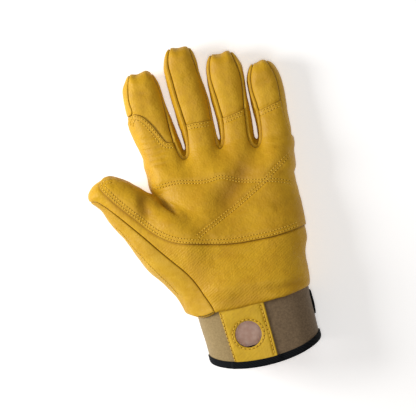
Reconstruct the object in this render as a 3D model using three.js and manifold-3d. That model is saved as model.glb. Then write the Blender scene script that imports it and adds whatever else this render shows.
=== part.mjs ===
// A leather rope-work glove for the left hand, lying on its back with the palm up.
//
// The glove is sewn from flat-cut leather: a palm panel with a second layer over its grip area, a back panel,
// a side panel on the outside of the thumb, and narrow gussets between the fingers. A knitted-faced foam cuff
// is sewn inside the hem. On the palm side the cuff carries a leather tab with a round hole for a clip, its
// rim is bound with black tape, and a black strap closes it at the back of the wrist.
//
// Millimetres. x runs across the palm from the thumb side, y from the wrist to the fingertips, z up from the
// surface that the glove lies on. Lengths in the tables are measured from the middle of the hem line (y near
// 19), and the whole group is moved at the end so that its origin is under the middle of the glove.
import * as THREE from "three";
import { mergeVertices } from "three/addons/utils/BufferGeometryUtils.js";
import Module from "manifold-3d";

const wasm = await Module();
wasm.setup();

// Driving dimensions
const LEATHER = 1.8; // wall of the glove leather
const OVERLAY = 1.3; // second layer on the palm
const GAP = 0.3; // clearance between pieces that are sewn together
const FOAM = 3; // wall of the cuff
const SAG = 2.5; // how much the lower side flattens where it rests
const ROUNDNESS = 2.2; // superellipse exponent of every cross-section
const FINGER_SIDES = 12;
const PALM_SIDES = 24;
const CUFF_SIDES = 26;
const FINGER_ROOT = 0.8; // share of its full size that a finger starts with inside the palm
const SEAM_INSET = 3; // from the silhouette to the seam of the palm panel
const FRONT_JOIN = 152; // where the fronts of the fingers meet the palm, under the second layer
const HOLE = { x: -1.9, y: -1.8, radius: 10.2 }; // clip hole in the cuff tab
const CEILING = 90; // above everything, for the solids that cut panels out
const GLOVE_MIDDLE = { x: -23.1, y: 99.6 }; // middle of the whole glove in plan

// Height of the leather body along the hand: half depth, the reach of the rounding at the edges, and how far
// the lower side is lifted off the surface by the natural curl of the fingers
const BODY = [
  { y: 8, depth: 27.4, edge: 29, lift: 0 },
  { y: 36, depth: 26.7, edge: 29, lift: 0 },
  { y: 60, depth: 22.5, edge: 26, lift: 0 },
  { y: 95, depth: 19, edge: 23, lift: 0 },
  { y: 125, depth: 16, edge: 18, lift: 0 },
  { y: 148, depth: 13.2, edge: 14, lift: 0 },
  { y: 165, depth: 12.6, edge: 13.5, lift: 0 },
  { y: 182, depth: 12.3, edge: 13.5, lift: 0.8 },
  { y: 200, depth: 12, edge: 13.5, lift: 3 },
  { y: 230, depth: 11.5, edge: 13, lift: 8.5 },
];

// Palm without the thumb: its left and right edge
const PALM = [
  { y: 17, left: -42, right: 53 },
  { y: 30, left: -44, right: 54 },
  { y: 60, left: -44, right: 56.5 },
  { y: 90, left: -47, right: 56.5 },
  { y: 115, left: -52.5, right: 55.5 },
  { y: 132, left: -55.5, right: 56.5 },
  { y: 148, left: -58.5, right: 59 },
];

// Line where the palm ends between the fingers
const WEB = [
  { x: -60, y: 140 },
  { x: -27, y: 144 },
  { x: 2.3, y: 148 },
  { x: 30.5, y: 144 },
  { x: 60, y: 140 },
];

// Seam of the gussets at each web: half its width, how far below the web it turns, its height between webs
const WEB_SEAM = { half: 3.3, below: 4, top: 145 };

// Gussets: where they start, half their width there, where they reach the middle of the fingers, how far they
// end below the fingertips, and how far their lower seam lies below the middle of the fingers
const GUSSET = { start: 134, half: 7, spread: 165, end: 5, below: 4.5 };

// Fingers: left and right edge, and the length over which the tip rounds off
const FINGERS = [
  {
    name: "index",
    tip: 214,
    rounding: 14,
    rows: [
      { y: 126, left: -54.5, right: -25 },
      { y: 148, left: -58.5, right: -27.6 },
      { y: 165, left: -63.5, right: -30.6 },
      { y: 180, left: -66, right: -33.6 },
      { y: 200, left: -66.6, right: -36 },
    ],
  },
  {
    name: "middle",
    tip: 228.5,
    rounding: 14,
    rows: [
      { y: 126, left: -26, right: 1.5 },
      { y: 148, left: -25.6, right: 1.2 },
      { y: 165, left: -27.6, right: 0.8 },
      { y: 180, left: -28.8, right: -0.2 },
      { y: 200, left: -31, right: -3 },
      { y: 215, left: -31.6, right: -4 },
    ],
  },
  {
    name: "ring",
    tip: 219.5,
    rounding: 14,
    rows: [
      { y: 126, left: 2.5, right: 30 },
      { y: 148, left: 3.4, right: 29.6 },
      { y: 165, left: 3.2, right: 30.4 },
      { y: 180, left: 1.6, right: 30 },
      { y: 205, left: 0.8, right: 30.4 },
    ],
  },
  {
    name: "little",
    tip: 208,
    rounding: 17,
    rows: [
      { y: 126, left: 31, right: 55 },
      { y: 148, left: 32.2, right: 59 },
      { y: 165, left: 32.6, right: 59 },
      { y: 180, left: 31.6, right: 59.4 },
      { y: 191, left: 31, right: 58.8 },
    ],
  },
];

// Thumb and the ball of the thumb, from the heel of the palm to the start of the round tip: centre, half
// width, height of the middle, half depth
const THUMB = [
  { x: -30, y: 26, half: 12, z: 24, depth: 14 },
  { x: -38, y: 44, half: 17, z: 23, depth: 17 },
  { x: -49, y: 64.5, half: 20.5, z: 23.5, depth: 18.5 },
  { x: -58, y: 83, half: 21, z: 24, depth: 18 },
  { x: -73, y: 105, half: 18.7, z: 24.5, depth: 15.5 },
  { x: -84, y: 117, half: 15.9, z: 25.5, depth: 13.6 },
  { x: -93, y: 123.5, half: 13.8, z: 26.5, depth: 12 },
];
const THUMB_TIP = { x: -102.5, y: 129.5, rounding: 11 };

// Cuff: left and right edge at the hem and at the rim
const CUFF = { hemLeft: -38.5, hemRight: 50.8, rimLeft: -34, rimRight: 53.4, top: 45, bottom: -40, tuck: 6 };
const CUFF_DEPTH = { half: 22.6, middle: 24.6, floor: 2.4, edge: 30 };
const HEM = { y: 18.5, slope: 0.095 }; // the hem line runs up towards the little finger
const RIM = { y: -17.2, slope: 0.06, drop: 11.4 }; // the rim hangs lower on the palm side
const BINDING = { width: 6, wall: 1.1, fold: 2 }; // the cuff ends this far inside the fold
const TAB = { topLeft: -22, topRight: 12.4, bottomLeft: -15.2, bottomRight: 16.6, thickness: 1.4, tuck: 2 };
const STRAP = { thickness: 2.1, width: 19, below: 1.4, leftEnd: -14, topEnd: 29 };

// Outline of the second leather layer, in plan, anticlockwise from the thumb. The four finger ends stop at
// the cross seams, and the lower edge is the long curve over the heel of the hand.
const OVERLAY_LOWER = [
  [-88, 131.5],
  [-92.5, 131],
  [-94.5, 128],
  [-92.5, 122.5],
  [-84.5, 112.8],
  [-71.8, 98.8],
  [-59, 85.5],
  [-45.3, 77.1],
  [-27.2, 72],
  [-4, 69],
  [16, 68.4],
  [37.5, 69.8],
  [52.5, 72],
];
const OVERLAY_ENDS = {
  index: [
    [-34.5, 154.8],
    [-38.7, 155],
    [-43.7, 163.5],
    [-50.7, 174.9],
    [-57, 180.8],
    [-61.6, 180.8],
  ],
  middle: [
    [-2.6, 167],
    [-13, 166.8],
    [-22.5, 166],
  ],
  ring: [
    [26, 171.5],
    [17, 168.7],
    [6.6, 166.6],
  ],
  little: [
    [55, 172.6],
    [46, 170.2],
    [36, 167.6],
  ],
};

// Seam between the palm panel and the side panel of the thumb, from the hem to the thumb tip
const THUMB_SEAM = [
  [-24.4, 19.2],
  [-28.8, 31],
  [-36, 45],
  [-45.4, 57],
  [-57.5, 72],
  [-70, 87],
  [-82.7, 101.5],
  [-94.8, 114.2],
  [-101, 118.5],
];

const THUMB_TOP_SEAM = [
  [-102, 123],
  [-98.5, 128],
  [-92.5, 131.5],
];

// Table reading
const mix = (a, b, t) => a + (b - a) * t;

function at(rows, key, value) {
  // The row at that value of the key column, straight between the rows on each side of it
  const last = rows.length - 1;
  const up = rows.findIndex((row) => row[key] >= value);
  if (up === 0) return rows[0];
  if (up === -1) return rows[last];
  const [a, b] = [rows[up - 1], rows[up]];
  const t = (value - a[key]) / (b[key] - a[key]);
  return Object.fromEntries(Object.keys(a).map((name) => [name, mix(a[name], b[name], t)]));
}

const ease = (t) => {
  const c = Math.min(1, Math.max(0, t));
  return c * c * (3 - 2 * c);
};

// Solids
function solidOf(geometry) {
  geometry.deleteAttribute("normal");
  geometry.deleteAttribute("uv");
  const merged = mergeVertices(geometry, 1e-3);
  return new wasm.Manifold(
    new wasm.Mesh({
      numProp: 3,
      vertProperties: merged.attributes.position.array,
      triVerts: new Uint32Array(merged.index.array),
    }),
  );
}

function loft(rings) {
  // A closed solid through rings of equal length, each a list of [x, y, z], with a fan at both ends
  const sides = rings[0].length;
  const positions = rings.flat(2);
  const faces = [];
  for (let r = 0; r + 1 < rings.length; r++)
    for (let i = 0; i < sides; i++) {
      const j = (i + 1) % sides;
      const [a, b] = [r * sides + i, r * sides + j];
      faces.push(a, a + sides, b, b, a + sides, b + sides);
    }
  const middle = (ring) => [0, 1, 2].map((k) => ring.reduce((sum, p) => sum + p[k], 0) / sides);
  const first = rings.length * sides;
  positions.push(...middle(rings[0]), ...middle(rings[rings.length - 1]));
  const start = first - sides;
  for (let i = 0; i < sides; i++) {
    const j = (i + 1) % sides;
    faces.push(first, i, j, first + 1, start + j, start + i);
  }
  const geometry = new THREE.BufferGeometry();
  geometry.setAttribute("position", new THREE.Float32BufferAttribute(positions, 3));
  geometry.setIndex(faces);
  const solid = solidOf(geometry);
  if (solid.volume() > 0) return solid;
  geometry.setIndex(faces.map((_, k) => faces[k - (k % 3) + (2 - (k % 3))]));
  return solidOf(geometry);
}

function prism(points, low = -5, high = CEILING) {
  // An upright prism over an outline in plan
  const shape = new THREE.Shape(points.map(([x, y]) => new THREE.Vector2(x, y)));
  const geometry = new THREE.ExtrudeGeometry(shape, { depth: high - low, bevelEnabled: false });
  return solidOf(geometry.translate(0, 0, low));
}

function slabOver(line) {
  // Everything above a line of [y, z] points, for all x
  const ends = [
    [260, line[line.length - 1][1]],
    [260, CEILING],
    [-60, CEILING],
    [-60, line[0][1]],
  ];
  const shape = new THREE.Shape([...line, ...ends].map(([y, z]) => new THREE.Vector2(y, z)));
  const geometry = new THREE.ExtrudeGeometry(shape, { depth: 300, bevelEnabled: false });
  geometry.applyMatrix4(new THREE.Matrix4().set(0, 0, 1, -170, 1, 0, 0, 0, 0, 1, 0, 0, 0, 0, 0, 1));
  return solidOf(geometry);
}

function largest(solid) {
  // The main body of a cut piece, without the slivers that the cut leaves beside it
  return solid.decompose().sort((a, b) => b.volume() - a.volume())[0];
}

// Cross-sections
function tipShare(reach, rounding, power = 2.3) {
  // Share of the full width that is left at this distance from the end of a finger
  const t = Math.min(1, Math.max(0, reach / rounding));
  return (1 - (1 - t) ** power) ** (1 / power);
}

function section(sides, half, depth, edge, place) {
  // A flat-sided oval: the middle stays flat and the edges round off over their reach
  const reach = Math.min(edge, half);
  return Array.from({ length: sides }, (_, i) => {
    const angle = (2 * Math.PI * i) / sides;
    const [c, s] = [Math.cos(angle), Math.sin(angle)];
    const across = Math.sign(c) * Math.abs(c) ** (2 / ROUNDNESS);
    const up = Math.sign(s) * Math.abs(s) ** (2 / ROUNDNESS);
    const flat = (half - reach) * ease(0.5 + c) * 2 - (half - reach);
    return place(flat + reach * across, depth * up, angle);
  });
}

const middleHeight = (row) => row.depth - SAG + row.lift;

function fingerSolid(finger, grow) {
  // One finger, from inside the palm to its tip; a negative grow gives the hollow
  const tip = finger.tip + grow;
  const rounding = finger.rounding;
  const ends = [rounding, 8.5, 4, 1].map((reach) => tip - reach);
  const stations = [...finger.rows.map((row) => row.y).filter((y) => y < ends[0] - 4), ...ends];
  return loft(
    stations.map((y, i) => {
      const row = at(finger.rows, "y", y);
      const body = at(BODY, "y", y);
      const share = i === 0 ? FINGER_ROOT : tipShare(tip - y, rounding);
      const centre = (row.left + row.right) / 2;
      const half = ((row.right - row.left) / 2 + grow) * share;
      const depth = (body.depth + grow) * share;
      return section(FINGER_SIDES, half, depth, body.edge, (across, up) => [
        centre + across,
        y,
        Math.max(middleHeight(body) + up, -grow),
      ]);
    }),
  );
}

function palmSolid(grow, start = PALM[0].y) {
  // The palm between the hem and the web of the fingers
  const stations = [start, 34, 56, 80, 104, 122, 134, 141, 145, 147.2];
  const end = PALM[PALM.length - 1].y + grow;
  return loft(
    stations.map((y) => {
      const row = at(PALM, "y", y);
      const body = at(BODY, "y", y);
      const share = tipShare(end - Math.min(y + grow, end - 0.3), 8);
      const centre = (row.left + row.right) / 2;
      const half = (row.right - row.left) / 2 + grow;
      const depth = (body.depth + grow) * share;
      return section(PALM_SIDES, half, depth, body.edge, (across, up) => {
        const x = centre + across;
        const webShift = (at(WEB, "x", x).y - 148) * ease((y - 110) / 30);
        const hemShift = (hemLine(x) - PALM[0].y) * ease((40 - y) / 22);
        const growShift = grow * ease((y - 110) / 30);
        return [x, y + growShift + webShift + hemShift, Math.max(middleHeight(body) + up, -grow)];
      });
    }),
  );
}

function thumbSolid(grow) {
  // The thumb with its ball, a bent tube whose sections stand square to its own axis
  const tip = new THREE.Vector2(THUMB_TIP.x, THUMB_TIP.y);
  const last = THUMB[THUMB.length - 1];
  const heading = tip.clone().sub(new THREE.Vector2(last.x, last.y)).normalize();
  tip.addScaledVector(heading, grow);
  const sections = THUMB.slice(0, -1).map((row) => ({ ...row, share: 1 }));
  for (const reach of [10.5, 7, 4, 1.8, 0.5]) {
    const point = tip.clone().addScaledVector(heading, -reach);
    sections.push({ ...last, x: point.x, y: point.y, share: tipShare(reach, THUMB_TIP.rounding) });
  }
  return loft(
    sections.map((row, i) => {
      const [a, b] = [sections[Math.max(0, i - 1)], sections[Math.min(sections.length - 1, i + 1)]];
      const along = new THREE.Vector2(b.x - a.x, b.y - a.y).normalize();
      const half = (row.half + grow) * row.share;
      const depth = (row.depth + grow) * row.share;
      return section(FINGER_SIDES, half, depth, half, (across, up) => [
        row.x + along.y * across,
        row.y - along.x * across,
        Math.max(row.z + up, -grow),
      ]);
    }),
  );
}

const hemLine = (x) => HEM.y + HEM.slope * x;

function handSolid(grow, start) {
  return wasm.Manifold.union([
    palmSolid(grow, start),
    thumbSolid(grow),
    ...FINGERS.map((finger) => fingerSolid(finger, grow)),
  ]);
}

// Cuff: a slightly tapered oval tube, longer than the cuff, that the hem and rim lines cut to length
function cuffTube(grow) {
  return loft(
    [CUFF.top, HEM.y, RIM.y, CUFF.bottom].map((y) => {
      const t = Math.min(1, Math.max(0, (HEM.y - y) / (HEM.y - RIM.y)));
      const left = mix(CUFF.hemLeft, CUFF.rimLeft, t) - grow;
      const right = mix(CUFF.hemRight, CUFF.rimRight, t) + grow;
      const [half, depth] = [(right - left) / 2, CUFF_DEPTH.half + grow];
      return section(CUFF_SIDES, half, depth, CUFF_DEPTH.edge, (across, up) => [
        (left + right) / 2 + across,
        y,
        Math.max(CUFF_DEPTH.middle + up, CUFF_DEPTH.floor - grow),
      ]);
    }),
  );
}

const cuffWall = (outer, inner) => cuffTube(outer).subtract(cuffTube(inner));

function rimLine(x, palmSide) {
  const half = (CUFF.rimRight - CUFF.rimLeft) / 2;
  const across = (x - CUFF.rimLeft) / half - 1;
  const drop = palmSide ? RIM.drop * Math.max(0, 1 - across * across) ** 0.65 : 0;
  return RIM.y + RIM.slope * x - drop;
}

function beyondRim(shift) {
  // Everything on the wrist side of the rim line, which hangs lower on the palm side
  const outline = (palmSide) => {
    const line = Array.from({ length: 25 }, (_, i) => mix(CUFF.rimLeft, CUFF.rimRight, i / 24));
    const points = line.map((x) => [x, rimLine(x, palmSide) + shift]);
    const [first, last] = [points[0][1], points[points.length - 1][1]];
    return [[-60, CUFF.bottom - 5], [80, CUFF.bottom - 5], [80, last], ...points.reverse(), [-60, first]];
  };
  return prism(outline(true), CUFF_DEPTH.middle).add(prism(outline(false), -5, CUFF_DEPTH.middle));
}

const aboveHem = (shift) =>
  prism([
    [-60, hemLine(-60) + shift],
    [80, hemLine(80) + shift],
    [80, 90],
    [-60, 90],
  ]);

// Outlines in plan
function grown(points, by) {
  // The outline moved outwards by that distance, with mitred corners
  const area = points.reduce((sum, [x, y], i) => {
    const [u, v] = points[(i + 1) % points.length];
    return sum + x * v - u * y;
  }, 0);
  const out = Math.sign(area) * by;
  const normal = ([x, y], [u, v]) => {
    const length = Math.hypot(u - x, v - y);
    return [(v - y) / length, (x - u) / length];
  };
  return points.map((point, i) => {
    const before = normal(points[(i + points.length - 1) % points.length], point);
    const after = normal(point, points[(i + 1) % points.length]);
    const scale = out / (1 + before[0] * after[0] + before[1] * after[1]);
    return [point[0] + (before[0] + after[0]) * scale, point[1] + (before[1] + after[1]) * scale];
  });
}

function fingerStrip(finger) {
  // Front of a finger between its two seams
  const ends = [finger.rounding, 9, 5].map((reach) => finger.tip - reach);
  const stations = [...finger.rows.map((row) => row.y).filter((y) => y < ends[0] - 4), ...ends];
  const edge = (side) =>
    stations.map((y) => {
      const row = at(finger.rows, "y", y);
      const half = ((row.right - row.left) / 2) * tipShare(finger.tip - y, finger.rounding) - SEAM_INSET;
      return [(row.left + row.right) / 2 + side * half, y];
    });
  const [right, left] = [edge(1), edge(-1)];
  const corner = (x) => [x, finger.tip - SEAM_INSET];
  const middle = (right[right.length - 1][0] + left[left.length - 1][0]) / 2;
  return [...right, corner(middle + 5.5), corner(middle - 5.5), ...left.reverse()];
}

function palmStrip() {
  // Front of the palm, with the seam of the gussets running round the web between the fingers
  const crotches = WEB.slice(1, -1).map(({ x, y }) => [
    [x + WEB_SEAM.half, y - WEB_SEAM.below],
    [x - WEB_SEAM.half, y - WEB_SEAM.below],
  ]);
  const roots = FINGERS.map(({ rows }) => [(rows[1].left + rows[1].right) / 2, WEB_SEAM.top]);
  const web = [roots[3], ...crotches[2], roots[2], ...crotches[1], roots[1], ...crotches[0], roots[0]];
  const right = PALM.slice(1, -1).map((row) => [row.right - SEAM_INSET, row.y]);
  const thumbSide = THUMB_SEAM.slice(0, 7).reverse();
  const [hemRight, hemLeft] = [PALM[0].right - SEAM_INSET, THUMB_SEAM[0][0]];
  return [[hemRight, 0], ...right, [55, 138], ...web, [-53, 137], ...thumbSide, [hemLeft, 0]];
}

function thumbStrip() {
  // Front of the thumb and its ball, from the seam to just short of the upper silhouette
  const upper = [5, 4, 3].map((i) => {
    const [before, row, after] = [THUMB[i - 1], THUMB[i], THUMB[i + 1]];
    const along = new THREE.Vector2(after.x - before.x, after.y - before.y).normalize();
    const reach = row.half - SEAM_INSET;
    return [row.x + along.y * reach, row.y - along.x * reach];
  });
  return [...THUMB_SEAM, ...THUMB_TOP_SEAM, ...upper, [-30, 80], [-20, 40], [-18, 19]];
}

// Panels. Each cut is made twice: once for the piece, and once a little larger for what lies beside it.
const bodyLine = (drop) => BODY.map((row) => [row.y, middleHeight(row) - drop]);
const thumbLine = (drop) => [THUMB[0], THUMB[5]].map((row) => [row.y, row.z - drop]);

function frontZone(extra) {
  const fingers = FINGERS.map((finger) => prism(grown(fingerStrip(finger), extra)));
  const hand = wasm.Manifold.union([prism(grown(palmStrip(), extra)), ...fingers]);
  const thumb = prism(grown(thumbStrip(), extra));
  return hand.intersect(slabOver(bodyLine(extra))).add(thumb.intersect(slabOver(thumbLine(extra))));
}

const skin = handSolid(0).subtract(handSolid(-LEATHER, PALM[0].y - 12));

// The fronts of the fingers are solids of their own, so that every wall of the hollow stays thin and simple.
const front = skin.intersect(frontZone(0));
const beyondJoin = prism([
  [-120, FRONT_JOIN],
  [80, FRONT_JOIN],
  [80, 240],
  [-120, 240],
]);
const palmPanel = largest(front.subtract(beyondJoin));
const fingerFronts = FINGERS.map((finger) => {
  const { left, right } = at(finger.rows, "y", FRONT_JOIN);
  const own = prism([
    [left - 8, FRONT_JOIN + GAP],
    [right + 8, FRONT_JOIN + GAP],
    [right + 8, finger.tip],
    [left - 8, finger.tip],
  ]);
  return { name: `${finger.name}_front`, solid: largest(front.intersect(own)) };
});

function gussetZone(left, right, extra) {
  // Between the middles of two neighbouring fingers, above the seam of the back panel
  const middleOf = (finger, y) => {
    const row = at(finger.rows, "y", y);
    return [(row.left + row.right) / 2, y];
  };
  const gapAt = (y) => (at(left.rows, "y", y).right + at(right.rows, "y", y).left) / 2;
  const { start, half, spread, end, below } = GUSSET;
  const [topLeft, topRight] = [left.tip - end, right.tip - end];
  const points = [
    [gapAt(148) - half, start],
    [gapAt(148) + half, start],
    middleOf(right, spread),
    middleOf(right, topRight),
    [gapAt(200), topRight],
    [gapAt(200), topLeft],
    middleOf(left, topLeft),
    middleOf(left, spread),
  ];
  return prism(grown(points, extra)).intersect(slabOver(bodyLine(below + extra)));
}

const besideFront = skin.subtract(frontZone(GAP));
const pairs = FINGERS.slice(1).map((finger, i) => [FINGERS[i], finger]);
const gussets = pairs.map(([left, right]) => ({
  name: `gusset_${left.name}_${right.name}`,
  solid: largest(besideFront.intersect(gussetZone(left, right, 0))),
}));

function thumbPanelZone(extra) {
  // The outer side of the thumb, from its tip to the hem, down to below its middle
  const outline = [
    [THUMB_SEAM[0][0] + 2, 0],
    ...THUMB_SEAM.slice(0, -1).map(([x, y]) => [x + 2, y + 1.5]),
    [-101, 121],
    [-103, 140],
    [-120, 140],
    [-120, 0],
  ];
  const line = [
    [0, 12],
    [60, 12],
    [110, 18],
    [140, 18],
  ];
  return prism(grown(outline, extra)).intersect(slabOver(line.map(([y, z]) => [y, z - extra])));
}

const thumbPanel = largest(besideFront.intersect(thumbPanelZone(0)));
const backPanel = largest(
  pairs
    .reduce((solid, [left, right]) => solid.subtract(gussetZone(left, right, GAP)), besideFront)
    .subtract(thumbPanelZone(GAP)),
);

// Second layer of leather on the palm
function overlayOutline() {
  const { index, middle, ring, little } = OVERLAY_ENDS;
  const crotch = (x, y) => [
    [x + 5.4, y + 8],
    [x + 3, y + 1.5],
    [x, y],
    [x - 3, y + 1.5],
    [x - 5.4, y + 8],
  ];
  return [
    ...OVERLAY_LOWER,
    [53, 100],
    [52, 118],
    [55, 138],
    [55.4, 158],
    ...little,
    ...crotch(30.2, 139.4),
    ...ring,
    ...crotch(1.9, 143.2),
    ...middle,
    ...crotch(-27.2, 139.6),
    ...index,
    [-58.5, 165],
    [-55, 150],
    [-52, 135],
    [-49.6, 118],
    [-50.5, 112.6],
    [-58, 113.4],
    [-66.5, 119.8],
    [-77, 128],
  ];
}

const layer = handSolid(GAP + OVERLAY).subtract(handSolid(GAP));
const upperHand = slabOver(bodyLine(0));
const palmOverlay = largest(layer.intersect(prism(overlayOutline())).intersect(upperHand));

// Cuff and what is sewn to it
const clipHole = solidOf(
  new THREE.CylinderGeometry(HOLE.radius, HOLE.radius, 60, 32)
    .rotateX(Math.PI / 2)
    .translate(HOLE.x, HOLE.y, 60),
);
const band = largest(
  cuffWall(0, -FOAM)
    .subtract(beyondRim(BINDING.fold))
    .subtract(aboveHem(CUFF.tuck))
    .subtract(clipHole),
);

const binding = largest(
  cuffWall(BINDING.wall, -FOAM - BINDING.wall)
    .intersect(beyondRim(BINDING.width))
    .subtract(beyondRim(0))
    .subtract(cuffWall(GAP, -FOAM - GAP).subtract(beyondRim(BINDING.fold - GAP))),
);

const tab = largest(
  cuffWall(GAP + TAB.thickness, GAP)
    .intersect(
      prism(
        [
          [TAB.bottomRight, -25],
          [TAB.topRight, hemLine(TAB.topRight) + TAB.tuck],
          [TAB.topLeft, hemLine(TAB.topLeft) + TAB.tuck],
          [TAB.bottomLeft, -25],
        ],
        CUFF_DEPTH.middle,
      ),
    )
    .subtract(beyondRim(BINDING.width + GAP))
    .subtract(clipHole),
);

const strapEdge = (x, shift) => [x, hemLine(x) - STRAP.below - shift];
const strap = largest(
  cuffWall(GAP + STRAP.thickness, GAP).intersect(
    prism(
      [
        strapEdge(STRAP.leftEnd, STRAP.width - 4),
        strapEdge(STRAP.leftEnd + 4, STRAP.width),
        strapEdge(80, STRAP.width),
        strapEdge(80, 0),
        strapEdge(STRAP.leftEnd + 4, 0),
        strapEdge(STRAP.leftEnd, 4),
      ],
      -5,
      STRAP.topEnd,
    ),
  ),
);

// Materials
const leather = (color, roughness) => new THREE.MeshStandardMaterial({ color, roughness, metalness: 0 });
const GOLD = leather(0xd9a62c, 0.55);
const OVERLAY_GOLD = leather(0xd4a12a, 0.5);
const PALE_GOLD = leather(0xe2b23c, 0.55);
const KHAKI = leather(0x8d7a58, 0.9);
const BLACK = leather(0x101215, 0.8);

// Assembly
const glove = new THREE.Group();

function piece(name, solid, material) {
  const { vertProperties, triVerts } = solid.getMesh();
  const geometry = new THREE.BufferGeometry();
  geometry.setAttribute("position", new THREE.BufferAttribute(vertProperties, 3));
  geometry.setIndex(new THREE.BufferAttribute(triVerts, 1));
  geometry.computeVertexNormals();
  const mesh = new THREE.Mesh(geometry, material);
  mesh.name = name;
  glove.add(mesh);
}

piece("palm_panel", palmPanel, GOLD);
for (const { name, solid } of fingerFronts) piece(name, solid, GOLD);
piece("palm_overlay", palmOverlay, OVERLAY_GOLD);
piece("thumb_panel", thumbPanel, PALE_GOLD);
for (const { name, solid } of gussets) piece(name, solid, GOLD);
piece("back_panel", backPanel, GOLD);
piece("cuff_band", band, KHAKI);
piece("cuff_tab", tab, OVERLAY_GOLD);
piece("cuff_binding", binding, BLACK);
piece("closure_strap", strap, BLACK);

glove.position.set(-GLOVE_MIDDLE.x, -GLOVE_MIDDLE.y, 0);

export default glove;
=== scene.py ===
import math

import bpy
import numpy as np
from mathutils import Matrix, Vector, noise
from mathutils.bvhtree import BVHTree


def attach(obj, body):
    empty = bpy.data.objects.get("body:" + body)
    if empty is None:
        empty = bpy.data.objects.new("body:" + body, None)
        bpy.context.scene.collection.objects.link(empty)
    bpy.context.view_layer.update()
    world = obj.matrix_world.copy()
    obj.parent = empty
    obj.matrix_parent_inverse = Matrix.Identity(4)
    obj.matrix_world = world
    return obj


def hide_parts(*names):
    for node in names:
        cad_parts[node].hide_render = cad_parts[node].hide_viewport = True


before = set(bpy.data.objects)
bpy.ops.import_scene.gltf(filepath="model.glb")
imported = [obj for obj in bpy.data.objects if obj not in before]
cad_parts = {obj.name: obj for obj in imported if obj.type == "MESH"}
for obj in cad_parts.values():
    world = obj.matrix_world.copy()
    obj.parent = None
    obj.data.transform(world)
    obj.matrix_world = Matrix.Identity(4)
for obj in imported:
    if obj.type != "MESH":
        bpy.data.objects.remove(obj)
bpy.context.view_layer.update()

# Palm panel: the front of the palm, the fingers and the thumb, cut from one piece of gold leather. It is sewn
# inside out to the gussets, the thumb panel and the back and then turned, which gives it full, rounded forms.
# The shape of the leather is worked out once here, and the other leather pieces are cut from the same shell.
# Sizes are millimetres from the middle of the hem line: x across, y to the fingertips, z up from the floor.
MIDDLE = np.array([-23.1, 99.6, 0.0])  # middle of the whole glove, the origin of the frame
CELL = 1.0  # grid that the shape is worked out on
AXES = [np.arange(low, high, CELL) for low, high in ((-112, 66), (3, 234), (-4.13, 58))]
ROUND = 2.2  # exponent of the oval sections
SAG = 2.5  # how much the lower side flattens where it rests
LEATHER = 1.5  # wall
GAP = 0.07  # half of the groove between two panels
BODY = np.array([
    # y, half depth, lift of the lower side by the curl of the fingers
    (8, 26.4, 0), (22, 26.5, 0), (36, 26.3, 0), (60, 22.5, 0), (95, 19, 0), (125, 16, 0), (148, 13.2, 0),
    (165, 12.6, 0), (182, 12.3, 0.8), (200, 12, 3), (230, 11.5, 8.5),
])
PALM = [
    (-40, 0), (-43, 20), (-44, 60), (-47, 90), (-52.5, 114), (-55.6, 130), (-57.2, 142), (-44, 146),
    (-27.5, 142.2), (-12, 149), (1.8, 146), (16, 149), (30, 141.8), (45, 146), (58.4, 141), (55.9, 130),
    (54.6, 119), (55.2, 105), (56, 90), (56.4, 76), (56.6, 64), (54.4, 57), (53, 50), (53.4, 38),
    (52.8, 29), (51.5, 24), (51.5, 0),
]
THUMB = [
    (-38, 12), (-43.6, 20), (-48, 29.5), (-54, 40), (-61, 49.6), (-70, 60), (-77.4, 73), (-83.2, 84.6),
    (-88.6, 93), (-93, 100.4), (-95.6, 106.4), (-98.2, 111.6), (-102, 116), (-105.6, 119.4), (-106.6, 123.6),
    (-104.6, 128.2), (-101, 131.6), (-96, 134.2), (-89, 136.4), (-82, 134), (-74.8, 130), (-68.6, 125),
    (-62.6, 120), (-57, 115), (-50, 108), (-38, 96), (-28, 78), (-24, 50), (-22, 24), (-26, 10),
]
THUMB_AXIS = np.array([
    # x, y, height of the middle, half depth
    (-26, 14, 24, 14), (-30, 26, 24, 14), (-38, 44, 23, 17), (-49, 64.5, 23.5, 18.5), (-58, 83, 24, 18),
    (-73, 105, 24.5, 15.5), (-84, 117, 25.5, 13.6), (-93, 123.5, 26.5, 12.4), (-106, 130, 27, 12),
])
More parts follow.
